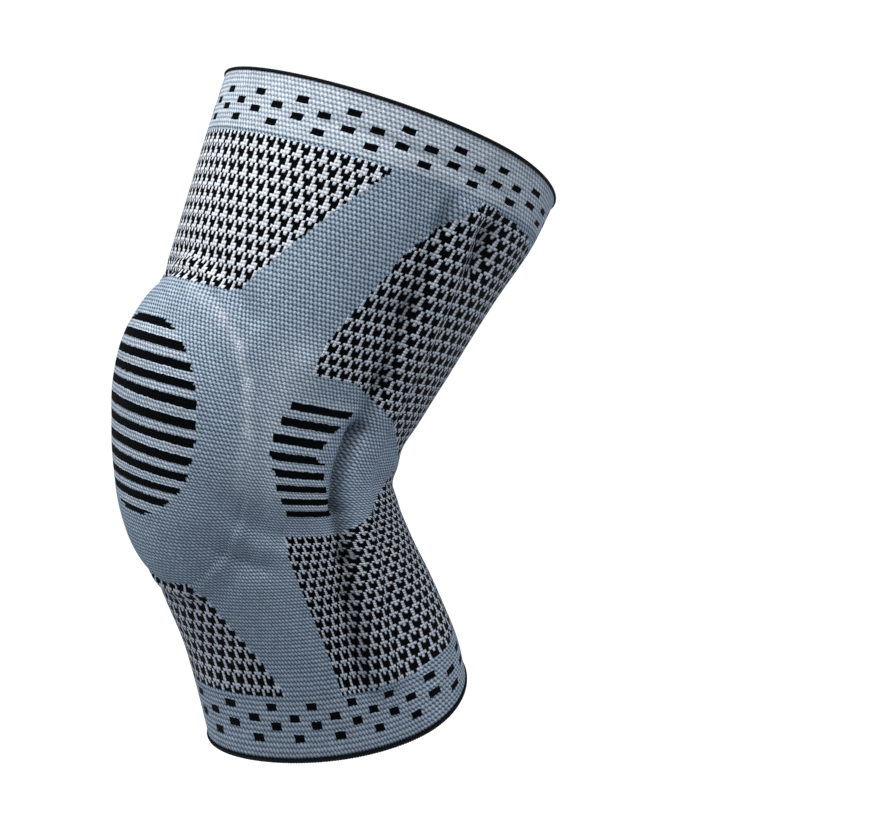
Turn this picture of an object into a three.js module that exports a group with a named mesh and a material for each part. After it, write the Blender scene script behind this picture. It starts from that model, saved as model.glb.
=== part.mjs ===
// Knee brace: a knitted compression sleeve in the bent form that it has when it is worn.
// Millimetres, +Z up. The kneecap faces -Y, and both limbs lean back towards +Y.
// The origin is the centre of the knee's bend, inside the hollow where the leg goes.
import * as THREE from 'three';

// Driving sizes of the sleeve, in millimetres and degrees
const THIGH_LENGTH = 165; // centre of the bend to the thigh edge
const THIGH_LEAN = 29; // how far the thigh leans back from upright
const THIGH_WIDTH = 158; // side to side at the thigh edge
const THIGH_DEPTH = 164; // front to back at the thigh edge
const KNEE_WIDTH = 114;
const KNEE_DEPTH = 128;
const CALF_LENGTH = 134; // centre of the bend to the calf edge
const CALF_LEAN = 22; // how far the calf leans back from upright
const CALF_WIDTH = 120;
const CALF_DEPTH = 125;
const BEND_SOFTNESS = 20; // how far the two limb axes round into each other
const WALL = 2; // thickness of the knitted fabric
const CLEARANCE = 0.3; // gap between pieces that touch
const THIGH_DIP_FRONT = 2; // how far the thigh edge dips towards the knee at the front of the leg
const THIGH_DIP_BACK = 8; // the same at the back of the leg
const CALF_DIP_FRONT = 5; // how far the calf edge rises towards the knee at the front of the leg
const CALF_DIP_BACK = 10; // the same at the back of the leg
const DIP_REACH = 0.25; // share of the knitted rows over which a dip fades out

// Driving sizes of the edgings, the kneecap pad and the side stays
const TOP_EDGE_HEIGHT = 1.2;
const BOTTOM_EDGE_HEIGHT = 2.2;
const EDGE_PROUD = 0.3; // how far an edging stands out past each face of the fabric
const DOME_WIDTH = 108; // raised oval over the kneecap, measured round the sleeve
const DOME_HEIGHT = 146; // the same oval, measured down the front
const DOME_CENTRE = 0.505; // share of the knitted rows below the oval's centre
const DOME_CROWN = 4; // power that sets how flat the dome's crown is
const DOME_ROUNDING = 0.75; // power that sets how steeply its wall meets the fabric round it
const PAD_THICKNESS = 8.4; // at the middle of the pad
const PAD_MARGIN = 8; // from the dome's outline in to the pad's edge
const PAD_CLEARANCE = 0.8; // gap between the pad and the fabric over it
const STAY_WIDTH = 8;
const STAY_THICKNESS = 2.4;
const STAY_SHOULDER = 7; // width of the slope on each side of a stay's ridge
const STAY_RUNOUT = 9; // length of the slope past each end of a stay's ridge
const STAY_TIP = 0.55; // width of a stay's tip as a share of its full width
const FOLD_DEPTH = 2; // depth of the deepest crease in the fabric
const STAY_FROM = 0.09; // shares of the knitted rows where a stay starts and ends
const STAY_TO = 0.89;

// Limbs that the section table refers to
const LIMBS = {
  thigh: { length: THIGH_LENGTH, lean: THIGH_LEAN, depth: THIGH_DEPTH, width: THIGH_WIDTH },
  knee: { length: KNEE_DEPTH, lean: THIGH_LEAN, depth: KNEE_DEPTH, width: KNEE_WIDTH },
  calf: { length: -CALF_LENGTH, lean: -CALF_LEAN, depth: CALF_DEPTH, width: CALF_WIDTH },
};

// One row for each section, from the calf edge to the thigh edge. knit is the share of the knitted
// rows below it, along the share of the limb's length from the bend, turn the share of its lean that
// the knitted row has turned, and front, back and side are shares of half the limb's depth and width.
const SECTIONS = [
  { knit: 0.0, limb: 'calf', along: 0.99, turn: 0.6, front: 1.02, back: 0.975, side: 1.0 },
  { knit: 0.06, limb: 'calf', along: 0.83, turn: 0.42, front: 0.98, back: 1.02, side: 1.0 },
  { knit: 0.13, limb: 'calf', along: 0.66, turn: 0.28, front: 0.96, back: 1.02, side: 0.99 },
  { knit: 0.21, limb: 'calf', along: 0.495, turn: 0.2, front: 0.99, back: 1.0, side: 0.97 },
  { knit: 0.29, limb: 'calf', along: 0.36, turn: 0.1, front: 1.025, back: 0.97, side: 0.95 },
  { knit: 0.35, limb: 'calf', along: 0.26, turn: -0.01, front: 1.03, back: 0.96, side: 0.94 },
  { knit: 0.4, limb: 'calf', along: 0.165, turn: -0.15, front: 1.015, back: 0.96, side: 0.935 },
  { knit: 0.455, limb: 'knee', along: -0.05, turn: 0.24, front: 0.97, back: 0.97, side: 0.985 },
  { knit: 0.505, limb: 'knee', along: 0.075, turn: 0.36, front: 1.005, back: 1.005, side: 1.0 },
  { knit: 0.55, limb: 'thigh', along: 0.155, turn: 0.44, front: 0.855, back: 0.805, side: 0.73 },
  { knit: 0.605, limb: 'thigh', along: 0.257, turn: 0.5, front: 0.905, back: 0.84, side: 0.75 },
  { knit: 0.66, limb: 'thigh', along: 0.355, turn: 0.525, front: 0.91, back: 0.875, side: 0.78 },
  { knit: 0.72, limb: 'thigh', along: 0.465, turn: 0.545, front: 0.91, back: 0.905, side: 0.82 },
  { knit: 0.795, limb: 'thigh', along: 0.61, turn: 0.605, front: 0.93, back: 0.94, side: 0.88 },
  { knit: 0.9, limb: 'thigh', along: 0.815, turn: 0.72, front: 0.97, back: 1.0, side: 0.955 },
  { knit: 1.0, limb: 'thigh', along: 0.998, turn: 0.84, front: 1.005, back: 0.995, side: 1.0 },
];

// Where the stays run, the same on both sides: degrees round from the front at each share of the knit
const STAY_LINE = [
  { knit: 0.0, around: 82 },
  { knit: 0.15, around: 86 },
  { knit: 0.31, around: 97 },
  { knit: 0.44, around: 102.5 },
  { knit: 0.6, around: 105.5 },
  { knit: 0.75, around: 100.5 },
  { knit: 0.9, around: 92 },
  { knit: 1.0, around: 88 },
];

// Creases and swellings, the same on both sides. Each runs straight from one place to another: degrees
// round from the front and share of the knit. spread is its half width in walls of fabric, and rise
// its height as a share of FOLD_DEPTH, below zero for a crease.
const FOLDS = [
  { fromAround: 78, fromKnit: 0.9, toAround: 84, toKnit: 0.72, spread: 4, rise: -0.7 },
  { fromAround: 84, fromKnit: 0.72, toAround: 94, toKnit: 0.55, spread: 4, rise: -0.8 },
  { fromAround: 94, fromKnit: 0.52, toAround: 90, toKnit: 0.4, spread: 4, rise: -1.0 },
  { fromAround: 88, fromKnit: 0.37, toAround: 70, toKnit: 0.1, spread: 4, rise: -0.7 },
  { fromAround: 106, fromKnit: 0.87, toAround: 110, toKnit: 0.83, spread: 5, rise: -0.9 },
  { fromAround: 44, fromKnit: 0.42, toAround: 72, toKnit: 0.38, spread: 4, rise: -0.7 },
  { fromAround: 32, fromKnit: 0.36, toAround: 52, toKnit: 0.32, spread: 4, rise: -0.8 },
  { fromAround: 8, fromKnit: 0.735, toAround: 40, toKnit: 0.68, spread: 3, rise: -0.7 },
  { fromAround: 125, fromKnit: 0.53, toAround: 180, toKnit: 0.505, spread: 4, rise: -0.8 },
  { fromAround: 120, fromKnit: 0.46, toAround: 180, toKnit: 0.45, spread: 4, rise: -0.9 },
];

// How finely the surfaces are divided
const CALF_STEPS = 3; // from the calf edge up to the stays' lower ends
const STAY_STEPS = 28; // along the stays
const THIGH_STEPS = 4; // from the stays' upper ends up to the thigh edge
const FRONT_STEPS = 13; // from the front line round to a stay's ridge
const BACK_STEPS = 8; // from a stay's ridge round to the back line
const PAD_RINGS = 7;
const PAD_SPOKES = 36;

const radians = THREE.MathUtils.degToRad;

// A smooth line through the rows of a table: a cubic between rows, with each row's slope taken from
// its neighbours.
function spline(rows, column) {
  const at = rows.map((row) => row.knit);
  const value = rows.map((row) => row[column]);
  const last = rows.length - 1;
  const slope = value.map((_, i) => {
    const before = Math.max(i - 1, 0);
    const after = Math.min(i + 1, last);
    return (value[after] - value[before]) / (at[after] - at[before]);
  });
  return (knit) => {
    let i = 0;
    while (i < last - 1 && knit > at[i + 1]) i += 1;
    const span = at[i + 1] - at[i];
    const t = (knit - at[i]) / span;
    const rest = 1 - t;
    const start = (1 + 2 * t) * rest * rest * value[i] + t * rest * rest * span * slope[i];
    const end = t * t * (3 - 2 * t) * value[i + 1] - t * t * rest * span * slope[i + 1];
    return start + end;
  };
}

// The section table in real sizes, and the smooth lines through it
const sectionRows = SECTIONS.map((row) => {
  const limb = LIMBS[row.limb];
  return {
    knit: row.knit,
    along: row.along * limb.length,
    turn: row.turn * radians(limb.lean),
    front: (row.front * limb.depth) / 2,
    back: (row.back * limb.depth) / 2,
    side: (row.side * limb.width) / 2,
  };
});
const alongAt = spline(sectionRows, 'along');
const turnAt = spline(sectionRows, 'turn');
const frontAt = spline(sectionRows, 'front');
const backAt = spline(sectionRows, 'back');
const sideAt = spline(sectionRows, 'side');
const stayAround = spline(STAY_LINE, 'around');

// The leg's centre line: two straight axes that round into each other at the bend, as a hyperbola does
const thighAxis = new THREE.Vector3(0, Math.sin(radians(THIGH_LEAN)), Math.cos(radians(THIGH_LEAN)));
const calfAxis = new THREE.Vector3(0, Math.sin(radians(CALF_LEAN)), -Math.cos(radians(CALF_LEAN)));

function centreLine(along) {
  const soft = Math.hypot(along, BEND_SOFTNESS);
  const onThigh = thighAxis.clone().multiplyScalar((soft + along) / 2);
  return onThigh.addScaledVector(calfAxis, (soft - along) / 2);
}

// Mean radius of the section, which turns a distance round the sleeve into an angle and back
function radiusAt(knit) {
  return (frontAt(knit) + backAt(knit) + 2 * sideAt(knit)) / 4;
}

// How far a place is drawn down the limb: both edges dip towards the knee at the front and the back,
// and the rows next to them follow, less and less.
function edgeDip(around, knit) {
  const thighPart = Math.max(1 - (1 - knit) / DIP_REACH, 0) ** 2;
  const calfPart = Math.max(1 - knit / DIP_REACH, 0) ** 2;
  const forward = Math.cos(around);
  const thighDip = forward > 0 ? THIGH_DIP_FRONT : THIGH_DIP_BACK;
  const calfDip = forward > 0 ? CALF_DIP_FRONT : CALF_DIP_BACK;
  return (thighDip * thighPart - calfDip * calfPart) * forward ** 2;
}

// The smooth form of the leg: an oval in the plane of each knitted row, with its own depth to the
// front and to the back of the centre line.
function legPoint(around, knit) {
  const forward = Math.cos(around);
  const reach = (forward > 0 ? frontAt(knit) : backAt(knit)) * forward;
  const turn = turnAt(knit);
  const point = centreLine(alongAt(knit) - edgeDip(around, knit));
  point.x += sideAt(knit) * Math.sin(around);
  point.y -= reach * Math.cos(turn);
  point.z += reach * Math.sin(turn);
  return point;
}

function legNormal(around, knit) {
  const step = 1e-4;
  const low = Math.max(knit - step, 0);
  const high = Math.min(knit + step, 1);
  const round = legPoint(around + step, knit).sub(legPoint(around - step, knit));
  const upward = legPoint(around, high).sub(legPoint(around, low));
  return round.cross(upward).normalize();
}

// Length of the front line from the calf edge up to each share of the knit, for places on the dome
const FRONT_SAMPLES = 200;
const frontLengths = [0];
for (let i = 1; i <= FRONT_SAMPLES; i += 1) {
  const step = legPoint(0, i / FRONT_SAMPLES).distanceTo(legPoint(0, (i - 1) / FRONT_SAMPLES));
  frontLengths.push(frontLengths[i - 1] + step);
}

function frontLength(knit) {
  const place = THREE.MathUtils.clamp(knit, 0, 1) * FRONT_SAMPLES;
  const i = Math.min(Math.floor(place), FRONT_SAMPLES - 1);
  return THREE.MathUtils.lerp(frontLengths[i], frontLengths[i + 1], place - i);
}

function knitAtFrontLength(length) {
  let i = 0;
  while (i < FRONT_SAMPLES - 1 && frontLengths[i + 1] < length) i += 1;
  const share = (length - frontLengths[i]) / (frontLengths[i + 1] - frontLengths[i]);
  return (i + share) / FRONT_SAMPLES;
}

// The dome over the kneecap: an oval with a flat crown and a rounded wall, worked out from how far a
// place lies from the dome's centre, 1 at its outline.
const domeCentre = frontLength(DOME_CENTRE);

function domeShare(around, knit) {
  const across = (around * radiusAt(knit)) / (DOME_WIDTH / 2);
  const upward = (frontLength(knit) - domeCentre) / (DOME_HEIGHT / 2);
  return Math.hypot(across, upward);
}

function domeRise(around, knit) {
  const inward = Math.max(1 - domeShare(around, knit) ** DOME_CROWN, 0);
  return (PAD_THICKNESS + PAD_CLEARANCE) * inward ** DOME_ROUNDING;
}

// A slope that is 1 up to one distance and falls smoothly to 0 over the width after it
function shoulder(distance, flat, width) {
  const t = THREE.MathUtils.clamp((distance - flat) / width, 0, 1);
  return 1 - t * t * (3 - 2 * t);
}

// Length of the sleeve down its middle, which turns a share of the knitted rows into a distance
const meanLength = THIGH_LENGTH + CALF_LENGTH;

// The ridge over a stay, flat over its width and rounded down on each side and past each end
function ridgeRise(around, knit) {
  const across = Math.abs(around - radians(stayAround(knit))) * radiusAt(knit);
  const past = Math.max(STAY_FROM - knit, knit - STAY_TO, 0) * meanLength;
  const flat = STAY_WIDTH / 2 + CLEARANCE;
  const height = STAY_THICKNESS + CLEARANCE;
  return height * shoulder(across, flat, STAY_SHOULDER) * shoulder(past, CLEARANCE, STAY_RUNOUT);
}

function foldRise(around, knit) {
  let total = 0;
  for (const fold of FOLDS) {
    const radius = radiusAt(knit);
    const from = new THREE.Vector2(radians(fold.fromAround) * radius, fold.fromKnit * meanLength);
    const to = new THREE.Vector2(radians(fold.toAround) * radius, fold.toKnit * meanLength);
    const place = new THREE.Vector2(around * radius, knit * meanLength);
    const run = to.clone().sub(from);
    const share = THREE.MathUtils.clamp(place.clone().sub(from).dot(run) / run.lengthSq(), 0, 1);
    const away = place.distanceTo(from.addScaledVector(run, share)) / (fold.spread * WALL);
    total += fold.rise * FOLD_DEPTH * Math.exp(-away * away);
  }
  return total;
}

// A place on the fabric: the leg's form, raised by the dome, the ridges and the folds, and then sunk
// below the outer face. Both sides are alike, so what stands on the surface depends on |around|.
function fabricPoint(around, knit, below) {
  const side = Math.abs(around);
  const rise = domeRise(side, knit) + ridgeRise(side, knit) + foldRise(side, knit);
  return legPoint(around, knit).addScaledVector(legNormal(around, knit), rise - below);
}

// The lines that run down the sleeve, from the back round by one side, the front and the other side.
// Near a stay they keep a fixed distance from it, so that its ridge is the same all the way down.
const ridgeHalf = STAY_WIDTH / 2 + CLEARANCE + STAY_SHOULDER;
const ridgeOffsets = [-1, -0.7, -0.37, 0, 0.37, 0.7, 1].map((share) => share * ridgeHalf);

function halfColumns(knit) {
  const radius = radiusAt(knit);
  const stay = radians(stayAround(knit));
  const before = stay - ridgeHalf / radius;
  const after = stay + ridgeHalf / radius;
  const columns = [];
  for (let i = 1; i < FRONT_STEPS; i += 1) {
    columns.push((before * i) / FRONT_STEPS);
  }
  for (const offset of ridgeOffsets) {
    columns.push(stay + offset / radius);
  }
  for (let i = 1; i < BACK_STEPS; i += 1) {
    columns.push(after + ((Math.PI - after) * i) / BACK_STEPS);
  }
  return columns;
}

function columnsAt(knit) {
  const half = halfColumns(knit);
  const mirrored = half.map((around) => -around).reverse();
  return [-Math.PI, ...mirrored, 0, ...half];
}

// Builds one closed body from a list of points and the faces between them
function solid(name, points, faces, material) {
  const geometry = new THREE.BufferGeometry();
  geometry.setAttribute('position', new THREE.Float32BufferAttribute(points.flatMap((p) => p.toArray()), 3));
  geometry.setIndex(faces.flat());
  geometry.computeVertexNormals();
  const mesh = new THREE.Mesh(geometry, material);
  mesh.name = name;
  return mesh;
}

// Joins rings of equally many points into a tube, closing the last ring to the first if it loops.
// The first half of a ring is one side of the brace and the second half the other, so the two are
// cut into triangles along opposite diagonals and match as mirror images.
function ringFaces(rings, size, loops) {
  const faces = [];
  const joins = loops ? rings : rings - 1;
  for (let r = 0; r < joins; r += 1) {
    const next = (r + 1) % rings;
    for (let i = 0; i < size; i += 1) {
      const j = (i + 1) % size;
      const corners = [r * size + i, r * size + j, next * size + j, next * size + i];
      const [a, b, c, d] = i < size / 2 ? [...corners.slice(1), corners[0]] : corners;
      faces.push([a, b, c], [a, c, d]);
    }
  }
  return faces;
}

// The rows of points up the sleeve, which also stand at both ends of the stays
function levels(from, to, steps) {
  return Array.from({ length: steps }, (_, i) => from + ((to - from) * i) / steps);
}
const stayLevels = [...levels(STAY_FROM, STAY_TO, STAY_STEPS), STAY_TO];
const knitLevels = [
  ...levels(0, STAY_FROM, CALF_STEPS),
  ...stayLevels.slice(0, -1),
  ...levels(STAY_TO, 1, THIGH_STEPS),
  1,
];

// The sleeve: up the outer face from the calf edge to the thigh edge, and back down the inner face
function knitSleeve() {
  const points = [];
  for (const knit of knitLevels) {
    for (const around of columnsAt(knit)) points.push(fabricPoint(around, knit, 0));
  }
  for (const knit of [...knitLevels].reverse()) {
    for (const around of columnsAt(knit)) points.push(fabricPoint(around, knit, WALL));
  }
  const size = columnsAt(0).length;
  const material = new THREE.MeshStandardMaterial({ color: 0x9fb0c3, roughness: 0.85, metalness: 0 });
  return solid('knit_sleeve', points, ringFaces(2 * knitLevels.length, size, true), material);
}

// An overlocked edging: a rounded band that follows the rim, a clearance beyond it
function edging(name, knit, height) {
  const away = knit > 0.5 ? 1 : -1;
  const turn = turnAt(knit);
  const outward = new THREE.Vector3(0, Math.sin(turn), Math.cos(turn)).multiplyScalar(away);
  const profile = [
    { below: -EDGE_PROUD, up: 0.2 },
    { below: -EDGE_PROUD, up: 0.7 },
    { below: WALL * 0.25, up: 1 },
    { below: WALL * 0.75, up: 1 },
    { below: WALL + EDGE_PROUD, up: 0.7 },
    { below: WALL + EDGE_PROUD, up: 0.2 },
    { below: WALL * 0.75, up: 0 },
    { below: WALL * 0.25, up: 0 },
  ];
  const points = [];
  for (const corner of profile) {
    for (const around of columnsAt(knit)) {
      const point = fabricPoint(around, knit, corner.below);
      points.push(point.addScaledVector(outward, CLEARANCE + corner.up * height));
    }
  }
  const size = columnsAt(knit).length;
  const faces = ringFaces(profile.length, size, true);
  const facingOut = away > 0 ? faces : faces.map(([a, b, c]) => [a, c, b]);
  const material = new THREE.MeshStandardMaterial({ color: 0x14161c, roughness: 0.75, metalness: 0 });
  return solid(name, points, facingOut, material);
}

// The kneecap pad: its outer face follows the dome from inside, and its inner face lies on the leg,
// level with the inner face of the fabric round it.
function patellaPad() {
  const place = (ring, spoke, raised) => {
    const turn = (2 * Math.PI * spoke) / PAD_SPOKES;
    const across = -ring * (DOME_WIDTH / 2 - PAD_MARGIN) * Math.sin(turn);
    const upward = -ring * (DOME_HEIGHT / 2 - PAD_MARGIN) * Math.cos(turn);
    const knit = knitAtFrontLength(domeCentre + upward);
    const around = across / radiusAt(knit);
    const side = Math.abs(around);
    const rise = raised ? domeRise(side, knit) + foldRise(side, knit) - PAD_CLEARANCE : 0;
    return legPoint(around, knit).addScaledVector(legNormal(around, knit), rise - WALL);
  };
  const rings = Array.from({ length: PAD_RINGS }, (_, i) => Math.sin(((i + 1) / PAD_RINGS) * (Math.PI / 2)));
  const points = [];
  for (const ring of rings) {
    for (let spoke = 0; spoke < PAD_SPOKES; spoke += 1) points.push(place(ring, spoke, true));
  }
  for (const ring of [...rings].reverse()) {
    for (let spoke = 0; spoke < PAD_SPOKES; spoke += 1) points.push(place(ring, spoke, false));
  }
  const faces = ringFaces(2 * PAD_RINGS, PAD_SPOKES, false);
  const outerPole = points.push(place(0, 0, true)) - 1;
  const innerPole = points.push(place(0, 0, false)) - 1;
  const lastRing = (2 * PAD_RINGS - 1) * PAD_SPOKES;
  for (let spoke = 0; spoke < PAD_SPOKES; spoke += 1) {
    const next = (spoke + 1) % PAD_SPOKES;
    faces.push([outerPole, next, spoke]);
    faces.push([innerPole, lastRing + spoke, lastRing + next]);
  }
  const material = new THREE.MeshStandardMaterial({ color: 0xb9c2cc, roughness: 0.6, metalness: 0 });
  return solid('patella_pad', points, faces, material);
}

// A stay: a flat strip with rounded ends, in the hollow under its ridge. side is 1 or -1 along X.
function sideStay(name, side) {
  const halfWidth = (knit) => {
    const toEnd = Math.min(knit - STAY_FROM, STAY_TO - knit) * meanLength;
    const inEnd = Math.min(toEnd / (STAY_WIDTH / 2), 1);
    return (STAY_WIDTH / 2) * (STAY_TIP + (1 - STAY_TIP) * Math.sqrt(1 - (1 - inEnd) ** 2));
  };
  const corners = [
    { across: -1, below: 1 },
    { across: -1, below: 0.35 },
    { across: -0.7, below: 0 },
    { across: 0.7, below: 0 },
    { across: 1, below: 0.35 },
    { across: 1, below: 1 },
  ];
  const points = [];
  for (const knit of stayLevels) {
    for (const corner of corners) {
      const away = (corner.across * halfWidth(knit)) / radiusAt(knit);
      const around = radians(stayAround(knit)) + away;
      const rise = STAY_THICKNESS * (1 - corner.below) + foldRise(around, knit) - WALL;
      const normal = legNormal(side * around, knit);
      points.push(legPoint(side * around, knit).addScaledVector(normal, rise));
    }
  }
  const size = corners.length;
  const faces = ringFaces(stayLevels.length, size, false);
  const last = (stayLevels.length - 1) * size;
  for (let i = 1; i < size - 1; i += 1) {
    faces.push([0, i + 1, i]);
    faces.push([last, last + i, last + i + 1]);
  }
  const facingOut = side > 0 ? faces : faces.map(([a, b, c]) => [a, c, b]);
  const material = new THREE.MeshStandardMaterial({ color: 0xa9adb3, roughness: 0.35, metalness: 1 });
  return solid(name, points, facingOut, material);
}

const brace = new THREE.Group();
brace.add(knitSleeve());
brace.add(edging('top_edge', 1, TOP_EDGE_HEIGHT));
brace.add(edging('bottom_edge', 0, BOTTOM_EDGE_HEIGHT));
brace.add(patellaPad());
brace.add(sideStay('stay_outer', 1));
brace.add(sideStay('stay_inner', -1));

export default brace;
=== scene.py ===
# Knee brace: a knitted compression sleeve in the bent form that it has when it is worn.
# Metres in the frame, +Z up, the kneecap faces -Y. The sizes below are in millimetres.
import math
import bmesh
import bpy
import numpy as np
from mathutils import Matrix


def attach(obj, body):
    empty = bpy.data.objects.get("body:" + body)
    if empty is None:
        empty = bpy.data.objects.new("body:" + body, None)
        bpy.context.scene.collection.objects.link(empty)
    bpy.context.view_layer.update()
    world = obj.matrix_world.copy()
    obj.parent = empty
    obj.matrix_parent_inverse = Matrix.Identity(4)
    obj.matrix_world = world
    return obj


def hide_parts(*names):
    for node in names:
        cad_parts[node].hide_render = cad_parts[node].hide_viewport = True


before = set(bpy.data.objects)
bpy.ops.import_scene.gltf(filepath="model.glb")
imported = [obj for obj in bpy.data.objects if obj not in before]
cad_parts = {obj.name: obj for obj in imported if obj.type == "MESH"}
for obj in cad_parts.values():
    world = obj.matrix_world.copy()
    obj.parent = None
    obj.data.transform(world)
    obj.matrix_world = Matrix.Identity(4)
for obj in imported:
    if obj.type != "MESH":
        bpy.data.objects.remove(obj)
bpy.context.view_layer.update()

# The knitted sleeve: one tube of fine jacquard knit in steel blue, off-white and black nylon with
# elastane. It comes off the knitting machine in one piece, with the wider dome over the kneecap and
# the narrow tunnels for the stays knitted in, and it holds itself up by its stretch round the leg.
THIGH_LENGTH = 165.0
THIGH_LEAN = 29.0
THIGH_WIDTH = 158.0
THIGH_DEPTH = 164.0
KNEE_WIDTH = 114.0
KNEE_DEPTH = 128.0
CALF_LENGTH = 134.0
CALF_LEAN = 22.0
CALF_WIDTH = 120.0
CALF_DEPTH = 125.0
BEND_SOFTNESS = 20.0
WALL = 2.0
CLEARANCE = 0.3
DOME_WIDTH = 108.0
DOME_HEIGHT = 146.0
DOME_CENTRE = 0.505
DOME_CROWN = 4.0
DOME_ROUNDING = 0.75
PAD_THICKNESS = 8.4
PAD_CLEARANCE = 0.8
STAY_WIDTH = 8.0
STAY_THICKNESS = 2.4
STAY_SHOULDER = 7.0
STAY_RUNOUT = 9.0
STAY_FROM = 0.09
STAY_TO = 0.89
FOLD_DEPTH = 2.0
THIGH_DIP_FRONT = 2.0
THIGH_DIP_BACK = 8.0
CALF_DIP_FRONT = 5.0
CALF_DIP_BACK = 10.0
DIP_REACH = 0.25
TUNNEL_EASE = 1.2
TUNNEL_SLOPE = 4.0
TUNNEL_END = 6.0
# The bead and the groove round the dome: height, and place and spread as shares of the dome's outline
BEAD_HEIGHT = 1.8
BEAD_PLACE = 1.05
BEAD_SPREAD = 0.045
GROOVE_DEPTH = 0.8
GROOVE_PLACE = 1.16
GROOVE_SPREAD = 0.06
# How far the courses fall at the side of the knee, and where, as shares of the knitted rows
COURSE_DROP = 6.0
DROP_PLACE = 0.47
DROP_SPREAD = 0.17
SLEEVE_LENGTH = THIGH_LENGTH + CALF_LENGTH

# Limbs: length from the bend, lean from upright, depth and width at the limb's end
LIMBS = {
    "thigh": (THIGH_LENGTH, THIGH_LEAN, THIGH_DEPTH, THIGH_WIDTH),
    "knee": (KNEE_DEPTH, THIGH_LEAN, KNEE_DEPTH, KNEE_WIDTH),
    "calf": (-CALF_LENGTH, -CALF_LEAN, CALF_DEPTH, CALF_WIDTH),
}
# Sections: share of the knitted rows, limb, share of its length, share of its lean that the row has
# turned, and front, back and side as shares of half its depth and width
SECTIONS = (
    (0.0, "calf", 0.99, 0.6, 1.02, 0.975, 1.0),
    (0.06, "calf", 0.83, 0.42, 0.98, 1.02, 1.0),
    (0.13, "calf", 0.66, 0.28, 0.96, 1.02, 0.99),
    (0.21, "calf", 0.495, 0.2, 0.99, 1.0, 0.97),
    (0.29, "calf", 0.36, 0.1, 1.025, 0.97, 0.95),
    (0.35, "calf", 0.26, -0.01, 1.03, 0.96, 0.94),
    (0.4, "calf", 0.165, -0.15, 1.015, 0.96, 0.935),
    (0.455, "knee", -0.05, 0.24, 0.97, 0.97, 0.985),
    (0.505, "knee", 0.075, 0.36, 1.005, 1.005, 1.0),
    (0.55, "thigh", 0.155, 0.44, 0.855, 0.805, 0.73),
    (0.605, "thigh", 0.257, 0.5, 0.905, 0.84, 0.75),
    (0.66, "thigh", 0.355, 0.525, 0.91, 0.875, 0.78),
    (0.72, "thigh", 0.465, 0.545, 0.91, 0.905, 0.82),
    (0.795, "thigh", 0.61, 0.605, 0.93, 0.94, 0.88),
    (0.9, "thigh", 0.815, 0.72, 0.97, 1.0, 0.955),
    (1.0, "thigh", 0.998, 0.84, 1.005, 0.995, 1.0),
)
# Where the stays run: share of the knitted rows, degrees round from the front
STAY_LINE = (
    (0.0, 82.0),
    (0.15, 86.0),
    (0.31, 97.0),
    (0.44, 102.5),
    (0.6, 105.5),
    (0.75, 100.5),
    (0.9, 92.0),
    (1.0, 88.0),
)
# Creases: degrees round and share of the rows at each end, half width in walls, share of the fold depth
FOLDS = (
    (78.0, 0.9, 84.0, 0.72, 4.0, -0.7),
    (84.0, 0.72, 94.0, 0.55, 4.0, -0.8),
    (94.0, 0.52, 90.0, 0.4, 4.0, -1.0),
    (88.0, 0.37, 70.0, 0.1, 4.0, -0.7),
    (106.0, 0.87, 110.0, 0.83, 5.0, -0.9),
    (44.0, 0.42, 72.0, 0.38, 4.0, -0.7),
    (32.0, 0.36, 52.0, 0.32, 4.0, -0.8),
    (8.0, 0.735, 40.0, 0.68, 3.0, -0.7),
    (125.0, 0.53, 180.0, 0.505, 4.0, -0.8),
    (120.0, 0.46, 180.0, 0.45, 4.0, -0.9),
)
# Finer creases of the cloth alone, given in the same way: in front of the stay, behind it near the thigh
# edge, the swelling between the dome and the stay, and the tight line beside the dashes
CREASES = (
    (85.5, 0.895, 86.5, 0.86, 1.8, -0.9),
    (86.5, 0.86, 91.0, 0.74, 3.0, -0.6),
    (91.0, 0.74, 96.0, 0.63, 3.0, -0.6),
    (96.0, 0.63, 96.5, 0.55, 2.5, -0.6),
    (95.5, 0.54, 91.5, 0.42, 1.6, -2.2),
    (91.5, 0.42, 88.0, 0.32, 2.2, -1.2),
    (88.0, 0.32, 81.5, 0.235, 2.4, -0.9),
    (81.5, 0.235, 76.5, 0.13, 2.4, -0.9),
    (105.0, 0.87, 110.0, 0.83, 2.8, -1.5),
    (66.0, 0.62, 64.0, 0.45, 5.0, 0.8),
    (48.0, 0.4, 62.0, 0.37, 2.5, -0.9),
    (38.0, 0.35, 50.0, 0.32, 2.0, -0.9),
    (38.0, 0.952, 104.0, 0.938, 1.0, -0.4),
)
# Painted highlight, given in the same way, with half its share of white: paler knit standing in for the light
# on the swelling between the dome and the stay, and on the crest over the dome's rim
PAINTED_HIGHLIGHTS = (
    (62.0, 0.62, 62.0, 0.46, 6.0, 0.12),
    (11.0, 0.7, 28.5, 0.673, 1.2, 0.12),
    (28.5, 0.673, 40.0, 0.633, 1.2, 0.18),
    (40.0, 0.633, 48.0, 0.582, 1.2, 0.2),
    (48.0, 0.582, 51.0, 0.52, 1.2, 0.2),
    (51.0, 0.52, 48.5, 0.45, 1.2, 0.12),
)
# Painted shade in the creases, given likewise: more black in the knit, standing in for the shadow in each
# fold
PAINTED_CREASE_SHADE = (
    (86.0, 0.89, 91.0, 0.74, 2.6, 0.16),
    (91.0, 0.74, 96.0, 0.63, 2.6, 0.2),
    (96.0, 0.63, 97.0, 0.55, 2.0, 0.2),
    (97.0, 0.55, 91.5, 0.42, 1.2, 0.28),
    (91.5, 0.42, 88.0, 0.32, 1.8, 0.26),
    (88.0, 0.32, 76.5, 0.1, 2.2, 0.22),
    (106.0, 0.87, 109.0, 0.82, 3.2, 0.24),
)


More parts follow.
